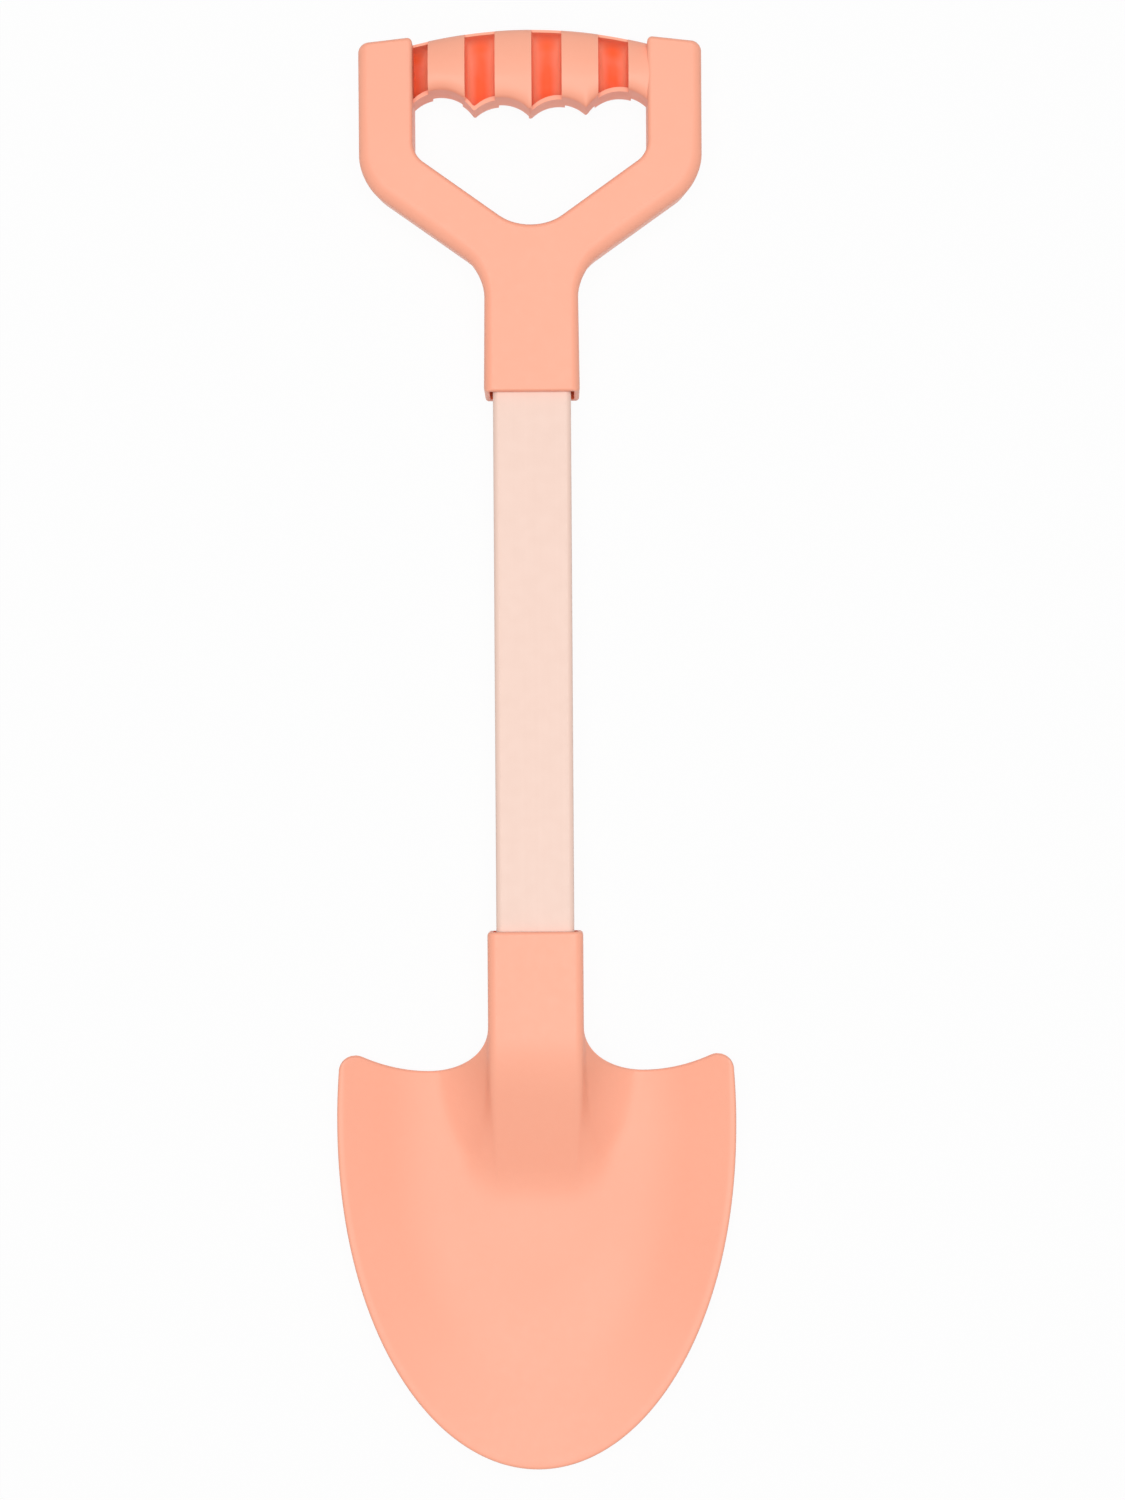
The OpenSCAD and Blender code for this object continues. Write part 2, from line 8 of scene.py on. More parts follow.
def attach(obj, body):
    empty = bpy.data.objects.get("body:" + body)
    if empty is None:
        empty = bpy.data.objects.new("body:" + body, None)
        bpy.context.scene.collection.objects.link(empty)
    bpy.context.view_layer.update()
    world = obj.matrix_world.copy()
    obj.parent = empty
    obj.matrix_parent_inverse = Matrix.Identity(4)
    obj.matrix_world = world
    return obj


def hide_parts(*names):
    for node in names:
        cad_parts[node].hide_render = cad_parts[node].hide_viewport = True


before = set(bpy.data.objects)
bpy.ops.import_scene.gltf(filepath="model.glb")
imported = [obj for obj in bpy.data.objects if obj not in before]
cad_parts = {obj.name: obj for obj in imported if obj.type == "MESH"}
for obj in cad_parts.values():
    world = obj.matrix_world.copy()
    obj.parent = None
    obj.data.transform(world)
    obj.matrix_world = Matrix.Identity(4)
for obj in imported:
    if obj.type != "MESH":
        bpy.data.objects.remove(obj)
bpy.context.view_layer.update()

# Lengths are in millimetres from the blade's tip, as in the part's source
LENGTH = 448.295
SHARP_TURN = math.radians(35)

BLADE_HALF = 62.3
BLADE_LEN = 129.5
WIDEST = 108.9
BLADE_WALL = 2.2
DISH_SLOPE = math.tan(math.radians(20))
BEND_SHARE = 0.61
BEND_HALF = 0.145
TIP_POWER = 2.09
RIM_LAND = 1.9
RIM_TILT = math.tan(math.radians(4))
RIM_R = 0.9
SHOULDER_R = 5
SHOULDER_DRAW = 0.6
SHOULDER_TURN = math.radians(27)
VALLEY_X = 33.5
VALLEY_Y = 124

ROOT_Y = 138.5
RAMP_FOOT = 88
RAMP_SLOPE = math.tan(math.radians(24.57))
RAMP_TOP = 126.94
FOOT_EASE = 6.8
FOOT_HALF = 23.5
TOP_EASE = 10
FLARE_HALF = 31
FLARE_TILT = math.radians(17)
FLARE_TURN = math.radians(2.4)
FLARE_EASE = 2.5
FLARE_STEEPEST = 1.6
ROOT_FILLET = 6
ROOT_RIB_FOOT = 95
ROOT_RIB_TOP = 131.9
ROOT_RIB_IN = 1.1

SOCKET_HALF = 14.85
SOCKET_D = 20
EDGE_R = 2.8
BACK_R = 1.2
SOCKET_FOOT = 137.2
SOCKET_DEEP = 131.8
LOWER_MOUTH = 168
LOWER_SEAT = 134
UPPER_MOUTH = 335.3
UPPER_SEAT = 369.3
SEAT_LEN = 34
SEAT_HALF = 12.3
SEAT_LOW = 3.5
SEAT_HIGH = 17.9
MOUTH_HALF = 13.1
MOUTH_LEN = 8

SHAFT_HALF = 12.1
SHAFT_LOW = 3.7
SHAFT_HIGH = 17.7
SHAFT_R = 1.7
SHAFT_WALL = 1.6

NECK_Y = 372.5
NECK_R = 15
BEND_Y = 399.8
BEND_R = 16
HANDLE_HALF = 53.4
INNER_HALF = 36.35
ARM_TOP = 443.095
ARM_CROWN = 1.9
ARM_OUT_R = 3.6
ARM_IN_R = 1.6
INNER_Y = 408.68
INNER_R = 7
CROTCH_Y = 382.77
CROTCH_R = 16.8
ARM_SLOPE = math.radians(35.3)
HANDLE_WALL = 2.2
HANDLE_DRAFT = 2
MOUTH_LEAN = 0.5
WIDEST_ROUND = 5
RIB_T = 1.4

GRIP_END = 443.695
GRIP_ARCH = 4.6
FINGER_TOP = 426.6
FINGER_END = 429
FINGER_X = 8.95
FINGER_END_X = 27.9
FINGER_R = 12
TOOTH_EASE = 1.6
FACE_Y = 433.495
GRIP_LOW = 0.3
GRIP_HIGH = 19.7
CROWN_IN = 6
LOW_IN = 3
CELL = 10.35
POCKET_RIB = 1
RIM_IN = 6
POCKET_DEPTH = 8.9
POCKET_LIP = 1.4
POCKET_TOP = 0.8

LOWER_SCREW_Y = 151
UPPER_SCREW_Y = 352.3
SCREW_HOLE_R = 1.95
HEAD_HOLE_R = 3.4
HEAD_HOLE_D = 2.1


# Shapes

def eased(t, bend, half):
    """Zero before a bend, one for one after it, and eased over it."""
    if t <= bend - half:
        return 0.0
    if t >= bend + half:
        return t - bend
    return (t - bend + half) ** 2 / (4 * half)


def soft_max(a, b, ease):
    """Greater of two numbers, eased where they meet."""
    gap = abs(a - b)
    return max(a, b) + (max(0.0, ease - gap) ** 2) / (4 * ease)


def within(t):
    """A number held between nought and one."""
    return min(1.0, max(0.0, t))


def smooth_step(t):
    t = within(t)
    return t * t * (3 - 2 * t)


def scratch(bm):
    """Temporary object for a bmesh."""
    mesh = bpy.data.meshes.new("scratch")
    bm.to_mesh(mesh)
    bm.free()
    obj = bpy.data.objects.new("scratch", mesh)
    bpy.context.scene.collection.objects.link(obj)
    return obj


def carve(obj, cutter):
    """Cuts one temporary object out of another when the latter is settled."""
    cut = obj.modifiers.new("cut", "BOOLEAN")
    cut.operation = "DIFFERENCE"
    cut.solver = "EXACT"
    cut.object = cutter


def settled(obj, *cutters):
    """Bmesh of a temporary object with its modifiers applied."""
    bpy.context.view_layer.update()
    bm = bmesh.new()
    bm.from_object(obj, bpy.context.evaluated_depsgraph_get())
    for used in (obj, *cutters):
        mesh = used.data
        bpy.data.objects.remove(used)
        bpy.data.meshes.remove(mesh)
    return bm


def joined(*parts):
    """One bmesh from several."""
    whole = bmesh.new()
    for bm in parts:
        mesh = bpy.data.meshes.new("part")
        bm.to_mesh(mesh)
        bm.free()
        whole.from_mesh(mesh)
        bpy.data.meshes.remove(mesh)
    return whole


def rounded_face(bm, corners, at):
    """Flat face through corners (u, v, radius, segments), rounded by bevelling its vertices."""
    verts = [bm.verts.new(at(u, v)) for u, v, _, _ in corners]
    face = bm.faces.new(verts)
    count = len(corners)
    for k, (u, v, radius, segments) in enumerate(corners):
        if not radius:
            continue
        before = Vector(corners[k - 1][:2]) - Vector((u, v))
        after = Vector(corners[(k + 1) % count][:2]) - Vector((u, v))
        reach = radius / math.tan(before.angle(after) / 2)
        bmesh.ops.bevel(bm, geom=[verts[k]], offset=reach, offset_type="ABSOLUTE", segments=segments,
                        profile=0.5, affect="VERTICES", material=-1, clamp_overlap=False)
    return max(bm.faces, key=lambda f: len(f.verts))


def pulled(bm, face, vec):
    """Extrudes a face into a closed solid."""
    made = bmesh.ops.extrude_face_region(bm, geom=[face], use_keep_orig=True)
    moved = [g for g in made["geom"] if isinstance(g, bmesh.types.BMVert)]
    bmesh.ops.translate(bm, vec=vec, verts=moved)
    bmesh.ops.recalc_face_normals(bm, faces=bm.faces)


def block(bm, low, high):
    """Adds a closed box between two corners."""
    made = bmesh.ops.create_cube(bm, size=1)
    low, high = Vector(low), Vector(high)
    bmesh.ops.scale(bm, vec=high - low, verts=made["verts"])
    bmesh.ops.translate(bm, vec=(low + high) / 2, verts=made["verts"])
    return made["verts"]


def piece(name, bm, node, material):
    """Finishes a bmesh in millimetres from the tip as a piece in the shared frame."""
    bmesh.ops.translate(bm, vec=(0, -LENGTH / 2, 0), verts=bm.verts)
    bmesh.ops.scale(bm, vec=(0.001, 0.001, 0.001), verts=bm.verts)
    for face in bm.faces:
        face.smooth = True
    for edge in bm.edges:
        edge.smooth = len(edge.link_faces) == 2 and edge.calc_face_angle(0) < SHARP_TURN
    mesh = bpy.data.meshes.new(name)
    bm.to_mesh(mesh)
    bm.free()
    mesh.materials.append(material)
    obj = bpy.data.objects.new(name, mesh)
    bpy.context.scene.collection.objects.link(obj)
    normals = obj.modifiers.new("even shading", "WEIGHTED_NORMAL")
    normals.keep_sharp = True
    normals.weight = 50
    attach(obj, "root")
    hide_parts(node)


# Blade

def dish(x, y):
    spread = math.hypot(x / BLADE_HALF, max(0.0, 1 - y / WIDEST) ** (TIP_POWER / 2))
    return BLADE_WALL + DISH_SLOPE * BLADE_HALF * eased(spread, BEND_SHARE, BEND_HALF)


SHOULDER_X = BLADE_HALF - SHOULDER_DRAW - SHOULDER_R
SHOULDER_Y = BLADE_LEN - SHOULDER_R
TURN_X = SHOULDER_X - SHOULDER_R * math.sin(SHOULDER_TURN)
TURN_Y = SHOULDER_Y + SHOULDER_R * math.cos(SHOULDER_TURN)


def top_edge(x):
    """Top edge of the blade: fillet by the socket, valley, and round shoulder."""
    if x <= SOCKET_HALF:
        return ROOT_Y
    if x <= VALLEY_X:
        share = (VALLEY_X - x) / (VALLEY_X - SOCKET_HALF)
        return ROOT_Y - (ROOT_Y - VALLEY_Y) * math.sqrt(1 - share * share)
    if x <= TURN_X:
        return VALLEY_Y + (TURN_Y - VALLEY_Y) * ((x - VALLEY_X) / (TURN_X - VALLEY_X)) ** 2
    return SHOULDER_Y + math.sqrt(max(0.0, SHOULDER_R ** 2 - (x - SHOULDER_X) ** 2))


def ramp(y):
    return BLADE_WALL + RAMP_SLOPE * (eased(y, RAMP_FOOT, FOOT_EASE) - eased(y, RAMP_TOP, TOP_EASE))


def crease(y):
    """Half width of the root, from the valleys down to the round corners of its foot."""
    drop = max(0.0, VALLEY_Y - y) / (VALLEY_Y - RAMP_FOOT + 3.5)
    up = within((y - RAMP_FOOT + FOOT_EASE) / 16)
    foot = FOOT_HALF * (1 - (1 - up) ** 2.5) ** 0.4
    return soft_max(FLARE_HALF * math.sqrt(max(0.0, 1 - drop ** 1.8)), foot, 2)


def flare_rise(inside):
    """Rise of the flare at a distance inside its crease, steepening evenly."""
    return math.log(math.cos(FLARE_TILT) / math.cos(FLARE_TILT + FLARE_TURN * inside)) / FLARE_TURN


def flare_lift(y):
    """How steep the flare is, so that it ends a little below the ramp's edge."""
    width = crease(y) - SOCKET_HALF
    if width <= 0:
        return 0.0
    gap = 0.3 + 2.8 * smooth_step((y - 98) / 22)
    return min(FLARE_STEEPEST, max(0.0, (ramp(y) - BLADE_WALL - gap) / flare_rise(width)))


def from_edge(x, y, inside):
    """Distance of a point of the blade from its outline."""
    if y <= WIDEST:
        return inside
    if x <= TURN_X:
        slope = (top_edge(x + 0.01) - top_edge(x - 0.01)) / 0.02
        return min(inside, (top_edge(x) - y) / math.hypot(1, slope))
    if y <= SHOULDER_Y:
        return BLADE_HALF - SHOULDER_DRAW * ((y - WIDEST) / (SHOULDER_Y - WIDEST)) ** 2 - x
    return SHOULDER_R - math.hypot(x - SHOULDER_X, y - SHOULDER_Y)


def rim_drop(x, y, inside):
    """Drop of the blade's rounded outer edge, which fades out beside the socket."""
    out = min(RIM_R, max(0.0, RIM_R - from_edge(x, y, inside)))
    return smooth_step((x - 18) / 6 if y > WIDEST else 1) * (RIM_R - math.sqrt(RIM_R ** 2 - out ** 2))


def flare_tilt(x, y):
    inside = crease(y) - x
    return math.atan(flare_lift(y) * math.tan(FLARE_TILT + FLARE_TURN * inside)) if inside > 0 else 0.0


def flare(x, y):
    """Height of the flare between its crease and the socket."""
    return dish(x, y) + flare_lift(y) * flare_rise(eased(crease(y) - x, 0, FLARE_EASE))


def root(x, y):
    """Height of the blade's front near its root: ramp, round edge, wall, fillet and flare."""
    sunk = 0.03 * within((y - 134) / 3)
    top = ramp(y) - sunk
    edge_x = SOCKET_HALF - EDGE_R - sunk
    foot_x = SOCKET_HALF + 2
    for _ in range(4):
        tilt = flare_tilt(foot_x, y)
        foot_x = SOCKET_HALF + ROOT_FILLET * (1 - math.sin(tilt))
    rise = flare(foot_x, y) + ROOT_FILLET * math.cos(tilt) - (top - EDGE_R)
    draft = 0.03 * max(0.0, -rise)
    middle_x = SOCKET_HALF + ROOT_FILLET + draft
    middle_z = top - EDGE_R + rise
    turn = max(math.radians(3), 2 * math.atan2(rise, EDGE_R + ROOT_FILLET))
    turn = min(turn, math.pi / 2 - tilt - 0.02)
    wall_a = edge_x + EDGE_R * math.cos(turn), top - EDGE_R + EDGE_R * math.sin(turn)
    wall_b = middle_x - ROOT_FILLET * math.cos(turn), middle_z - ROOT_FILLET * math.sin(turn)
    if x <= edge_x:
        return top
    if x <= wall_a[0]:
        return top - EDGE_R + math.sqrt(EDGE_R ** 2 - (x - edge_x) ** 2)
    if x <= wall_b[0]:
        share = (x - wall_a[0]) / (wall_b[0] - wall_a[0])
        return wall_a[1] + share * (wall_b[1] - wall_a[1])
    if x <= foot_x + draft:
        return middle_z - math.sqrt(ROOT_FILLET ** 2 - (middle_x - x) ** 2)
    return flare(x, y)


# Nested lines of the blade, by their distance from its axis at its widest
PLATEAU_LINES = [0, 2, 4, 6, 8, 9.5, 10.7, 11.5, 12.05, 12.6, 13.1, 13.55, 13.95, 14.25, 14.5, 14.68, 14.79]
WALL_LINES = [14.846, 14.9, 14.96, 15.03, 15.11, 15.2, 15.32, 15.48, 15.7, 16, 16.4, 16.9, 17.5, 18.2]
FLARE_LINES = [19 + 1.0 * k for k in range(10)] + [28.8, 29.6, 30.3]
CREASE_LINE = len(PLATEAU_LINES) + len(WALL_LINES) + len(FLARE_LINES)
DISH_LINES = [31, 31.7, 32.4, 33.2] + [34.2 + 1.02 * k for k in range(23)]
RIM_LINES = [58.3, 59.3, 60.0, 60.4, 60.8, 61.3, 61.6, 61.85, 62.05, 62.2, 62.3]
LINES = PLATEAU_LINES + WALL_LINES + FLARE_LINES + DISH_LINES + RIM_LINES
LEG_STEPS = 30
BOW_STEPS = 56


def line_point(c, k, step):
    """Place of one step on a nested line: down its leg, then round its bow to the axis."""
    if c <= FLARE_HALF:
        low = 92 - 6 * k / CREASE_LINE
        flared = max(0.0, (c - SOCKET_HALF) / (FLARE_HALF - SOCKET_HALF))
        knee = 92.2 + 0.8 * min(1.0, c / SOCKET_HALF) ** 2 + 30.6 * flared ** 1.2
        power, draw = 1.0, 0.0
    else:
        q = (BLADE_HALF - c) / (BLADE_HALF - FLARE_HALF)
        low = 31.3 * q + 54.7 * q * q * (3 - 2 * q)
        knee = WIDEST + 14.7 * q
        power, draw = 1 - (1 - 2 / TIP_POWER) * (1 - q), SHOULDER_DRAW * (1 - q) ** 2
    if step < LEG_STEPS:
        s = step / LEG_STEPS
        end = c - draw
        inside = BLADE_HALF - c
        if inside < SHOULDER_R:
            end = SHOULDER_X + SHOULDER_R * math.cos(math.pi / 2 * (inside / SHOULDER_R) ** 0.75)
        top = top_edge(end)
        return c - draw * (1 - s) ** 2 + (end - c + draw) * (1 - s) ** 6, top + (knee - top) * s
    turn = math.pi / 2 * (step - LEG_STEPS) / BOW_STEPS
    return c * math.cos(turn), knee - (knee - low) * math.sin(turn) ** power


def blade_sheet():
    bm = bmesh.new()
    across, along = len(LINES) - 1, LEG_STEPS + BOW_STEPS
    bmesh.ops.create_grid(bm, x_segments=across, y_segments=along, size=0.5)
    for vert in bm.verts:
        k = round((vert.co.x + 0.5) * across)
        step = round((vert.co.y + 0.5) * along)
        c = LINES[k]
        x, y = line_point(c, k, step)
        inside = BLADE_HALF - c
        if inside < 3:
            level = soft_max(inside, RIM_LAND, 0.5)
            z = dish(*line_point(BLADE_HALF - level, k, step)) + RIM_TILT * (level - inside)
        elif x < FLARE_HALF + 2 and y > RAMP_FOOT - FOOT_EASE - 1:
            z = root(x, y)
        else:
            z = dish(x, y)
        z -= rim_drop(x, y, inside)
        if k == 0 or step == along:
            x = 0
        vert.co = x, y, z
    half = bm.verts[:] + bm.edges[:] + bm.faces[:]
    bmesh.ops.mirror(bm, geom=half, matrix=Matrix.Identity(4), merge_dist=1e-4, axis="X")
    bmesh.ops.remove_doubles(bm, verts=bm.verts, dist=1e-4)
    bmesh.ops.dissolve_degenerate(bm, edges=bm.edges, dist=1e-5)
    bmesh.ops.recalc_face_normals(bm, faces=bm.faces)
    if sum(f.normal.z * f.calc_area() for f in bm.faces) < 0:
        bmesh.ops.reverse_faces(bm, faces=bm.faces)
    sheet = scratch(bm)
    wall = sheet.modifiers.new("wall", "SOLIDIFY")
    wall.thickness = BLADE_WALL
    wall.offset = -1
    soft = sheet.modifiers.new("soft rim", "BEVEL")
    soft.limit_method = "ANGLE"
    soft.angle_limit = math.radians(60)
    soft.width = 0.25
    soft.segments = 2
    bm = settled(sheet)
    for vert in bm.verts:
        vert.co.x = max(-BLADE_HALF, min(BLADE_HALF, vert.co.x))
        vert.co.y = max(0.0, vert.co.y)
    return bm


def seat_cutter(mouth, inward):
    """Space for one end of the shaft, with its wider mouth."""
    spaces = []
    for half, reach in ((SEAT_HALF, SEAT_LEN), (MOUTH_HALF, MOUTH_LEN)):
        space = bmesh.new()
        low, high = sorted((mouth - inward, mouth + inward * reach))
        block(space, (-half, low, SEAT_LOW), (half, high, SEAT_HIGH))
        spaces.append(scratch(space))
    return spaces


def screw_cutter(y):
    """Counterbored hole through a socket's back wall."""
    bm = bmesh.new()
    for radius, low, high in ((HEAD_HOLE_R, -1, HEAD_HOLE_D), (SCREW_HOLE_R, 1, 4.5)):
        made = bmesh.ops.create_cone(bm, cap_ends=True, segments=48, radius1=radius, radius2=radius,
                                     depth=high - low)
        bmesh.ops.translate(bm, vec=(0, y, (low + high) / 2), verts=made["verts"])
    return bm


def blade_socket():
    bm = bmesh.new()
    face = rounded_face(
        bm,
        [(-SOCKET_HALF, 0, BACK_R, 4), (SOCKET_HALF, 0, BACK_R, 4),
         (SOCKET_HALF, SOCKET_D, EDGE_R, 8), (-SOCKET_HALF, SOCKET_D, EDGE_R, 8)],
        lambda u, v: (u, SOCKET_FOOT, v),
    )
    pulled(bm, face, (0, LOWER_MOUTH - SOCKET_FOOT, 0))
    rim = [e for e in bm.edges if all(abs(v.co.y - LOWER_MOUTH) < 1e-4 for v in e.verts)]
    bmesh.ops.bevel(bm, geom=rim, offset=1.0, offset_type="OFFSET", segments=4, profile=0.5,
                    affect="EDGES", material=-1)
    foot = [f for f in bm.faces if all(abs(v.co.y - SOCKET_FOOT) < 1e-4 for v in f.verts)]
    bmesh.ops.inset_region(bm, faces=foot, thickness=0.5, use_even_offset=True)
    made = bmesh.ops.extrude_face_region(bm, geom=foot)
    inner = [g for g in made["geom"] if isinstance(g, bmesh.types.BMVert)]
    bmesh.ops.translate(bm, vec=(0, SOCKET_DEEP - SOCKET_FOOT, 0), verts=inner)
    bmesh.ops.delete(bm, geom=[f for f in foot if f.is_valid], context="FACES")
    bmesh.ops.recalc_face_normals(bm, faces=bm.faces)
    socket = scratch(bm)
    seat, mouth_space = seat_cutter(LOWER_MOUTH, -1)
    hole = scratch(screw_cutter(LOWER_SCREW_Y))
    carve(socket, seat)
    carve(socket, mouth_space)
    carve(socket, hole)
    return settled(socket, seat, mouth_space, hole)


def blade_rib():
    """Thin rib along the axis of the hollow behind the root."""
    bm = bmesh.new()
    low = [(ROOT_RIB_TOP, ROOT_RIB_IN), (ROOT_RIB_FOOT, ROOT_RIB_IN)]
    high = [(y, ramp(y) - ROOT_RIB_IN) for y in (ROOT_RIB_FOOT, 105, 115, 120, 125, 129, ROOT_RIB_TOP)]
    face = bm.faces.new([bm.verts.new((-RIB_T / 2, y, z)) for y, z in low + high])
    pulled(bm, face, (RIB_T, 0, 0))
    return bm


# Handle

def yoke_corners():
    right = [
        (SOCKET_HALF, UPPER_MOUTH, 0, 1),
        (SOCKET_HALF, NECK_Y, NECK_R, 10),
        (HANDLE_HALF, BEND_Y, BEND_R, 14),
        (HANDLE_HALF, ARM_TOP, ARM_OUT_R, 7),
        (INNER_HALF, ARM_TOP + ARM_CROWN, ARM_IN_R, 5),
        (INNER_HALF, INNER_Y, INNER_R, 8),
    ]
    return right + [(0, CROTCH_Y, CROTCH_R, 14)] + [(-x, y, r, n) for x, y, r, n in reversed(right)]


def yoke():
    bm = bmesh.new()
    face = rounded_face(bm, yoke_corners(), lambda u, v: (u, v, 0))
    pulled(bm, face, (0, 0, SOCKET_D))
    # Draft towards the back, and a leaning mouth
    bm.normal_update()
    outward = {}
    for vert in bm.verts:
        if vert.co.z < 0.01:
            sides = (f.normal for f in vert.link_faces if abs(f.normal.z) < 0.5)
            outward[vert] = sum(sides, Vector()).normalized()
    for vert, out in outward.items():
        if vert.co.y < UPPER_MOUTH + 1:
            vert.co.y -= MOUTH_LEAN
        elif vert.co.x * out.x > 0:
            vert.co -= HANDLE_DRAFT * (1 - max(0.0, out.y)) * out
    # Each edge's share of the widest rounding
    weight = bm.edges.layers.float.new("bevel_weight_edge")
    for edge in bm.edges:
        a, b = (v.co for v in edge.verts)
        middle = (a + b) / 2
        out = next((f.normal for f in edge.link_faces if abs(f.normal.z) < 0.5), Vector((0, 0, 0)))
        front, back = min(a.z, b.z) > SOCKET_D - 0.01, max(a.z, b.z) < 0.01
        if back:
            edge[weight] = 0
        elif front and middle.y < UPPER_MOUTH + 0.1:
            edge[weight] = 0.14
        elif front and abs(middle.x) > 0.5 and middle.x * out.x > 0 and out.y < 0.05:
            slope = within((middle.y - 366) / 14) - 0.8 * within((middle.y - 396) / 20)
            edge[weight] = 0.58 + 0.42 * slope
        elif front and middle.y > INNER_Y + 20 and out.y > 0.05:
            outer = 0.664 if middle.x * out.x > 0 else 0.27
            edge[weight] = outer + (0.25 - outer) * min(1.0, out.y)
        elif front:
            edge[weight] = 0.27
        elif middle.y < UPPER_MOUTH + 0.1:
            edge[weight] = 0.27
    body = scratch(bm)
    hollow = arm_hollow()
    seat, mouth_space = seat_cutter(UPPER_MOUTH, 1)
    hole = scratch(screw_cutter(UPPER_SCREW_Y))
    for cutter in (hollow, seat, mouth_space, hole):
        carve(body, cutter)
    edges = body.modifiers.new("round edges", "BEVEL")
    edges.limit_method = "WEIGHT"
    edges.width = WIDEST_ROUND
    edges.segments = 8
    edges.use_clamp_overlap = False
    return settled(body, hollow, seat, mouth_space, hole)


def arm_hollow():
    """Hollow inside the arms, open at the back, between its cross ribs."""
    bm = bmesh.new()
    verts = [bm.verts.new((x, y, -1)) for x, y, _, _ in yoke_corners()]
    face = bm.faces.new(verts)
    bm.normal_update()
    bmesh.ops.inset_region(bm, faces=[face], thickness=HANDLE_WALL + 1.2, use_boundary=True,
                           use_even_offset=True)
    corners = []
    for vert in face.verts:
        near = min(yoke_corners(), key=lambda c: (Vector((c[0], c[1], -1)) - vert.co).length)
        radius = near[2]
        concave = radius in (INNER_R, CROTCH_R)
        inner = radius + HANDLE_WALL if concave else 2.4 if radius == NECK_R else max(1, radius - HANDLE_WALL)
        corners.append((vert.co.x, max(vert.co.y, UPPER_SEAT + HANDLE_WALL), inner, 6))
    bm.free()
    bm = bmesh.new()
    face = rounded_face(bm, corners, lambda u, v: (u, v, -1))
    pulled(bm, face, (0, 0, 1 + SOCKET_D - HANDLE_WALL))
    rim = [e for e in bm.edges if all(v.co.z > 10 for v in e.verts)]
    bmesh.ops.bevel(bm, geom=rim, offset=0.7, offset_type="OFFSET", segments=3, profile=0.5,
                    affect="EDGES", material=-1)
    hollow = scratch(bm)
    ribs = bmesh.new()
    for side in (-1, 1):
        for share in (0.3, 0.75):
            y = INNER_Y + (ARM_TOP - INNER_Y) * share
            low, high = sorted((side * 30, side * 60))
            block(ribs, (low, y - RIB_T / 2, 2), (high, y + RIB_T / 2, 25))
            made = block(ribs, (-RIB_T / 2, -30, 2), (RIB_T / 2, 8, 25))
            turn = Matrix.Rotation(side * ARM_SLOPE, 3, "Z")
            place = side * INNER_HALF * share, CROTCH_Y + (INNER_Y - CROTCH_Y) * share, 0
            bmesh.ops.rotate(ribs, cent=(0, 0, 0), matrix=turn, verts=made)
            bmesh.ops.translate(ribs, vec=place, verts=made)
    block(ribs, (-RIB_T / 2, 360, 2), (RIB_T / 2, 392, 25))
    ribs = scratch(ribs)
    carve(hollow, ribs)
    return scratch(settled(hollow, ribs))


# Grip

def finger_hollow(x, at, top):
    return top - FINGER_R + math.sqrt(max(0.0, FINGER_R ** 2 - (x - at) ** 2))


def grip_under(x):
    x = abs(x)
    inner = finger_hollow(x, FINGER_X, FINGER_TOP)
    outer = finger_hollow(x, FINGER_END_X, FINGER_END)
    opposite = finger_hollow(-x, FINGER_X, FINGER_TOP)
    return soft_max(soft_max(inner, outer, TOOTH_EASE), opposite, TOOTH_EASE)


def grip_over(x):
    return GRIP_END + GRIP_ARCH * (1 - (x / INNER_HALF) ** 2)


ARC = 9
FLAT = 4


def grip_section(x):
    """Cross-section of the grip as (y, z), from its top round its front, underside and back."""
    over, under = grip_over(x), grip_under(x)
    front = []
    for k in range(ARC + 1):
        turn = math.pi / 2 * k / ARC
        front.append((FACE_Y + (over - FACE_Y) * math.cos(turn),
                      GRIP_HIGH - CROWN_IN + CROWN_IN * math.sin(turn)))
    for k in range(1, ARC + 1):
        turn = math.pi / 2 * k / ARC
        front.append((FACE_Y - (FACE_Y - under) * math.sin(turn),
                      GRIP_HIGH - LOW_IN + LOW_IN * math.cos(turn)))
    back = [(y, SOCKET_D - z) for y, z in reversed(front)]
    below = [(under, front[-1][1] + (back[0][1] - front[-1][1]) * k / FLAT) for k in range(1, FLAT)]
    above = [(over, back[-1][1] + (front[0][1] - back[-1][1]) * k / FLAT) for k in range(1, FLAT)]
    return front + below + back + above


def grip_bar():
    bm = bmesh.new()
    half = INNER_HALF + HANDLE_WALL - 0.15
    along = 160
    sections = [grip_section(half * (2 * k / along - 1)) for k in range(along + 1)]
    around = len(sections[0])
    bmesh.ops.create_grid(bm, x_segments=along, y_segments=around, size=0.5)
    for vert in bm.verts:
        k = round((vert.co.x + 0.5) * along)
        y, z = sections[k][round((vert.co.y + 0.5) * around) % around]
        vert.co = half * (2 * k / along - 1), y, z
    bmesh.ops.remove_doubles(bm, verts=bm.verts, dist=1e-5)
    ends = [e for e in bm.edges if e.is_boundary]
    bmesh.ops.holes_fill(bm, edges=ends, sides=0)
    bmesh.ops.recalc_face_normals(bm, faces=bm.faces)
    return bm


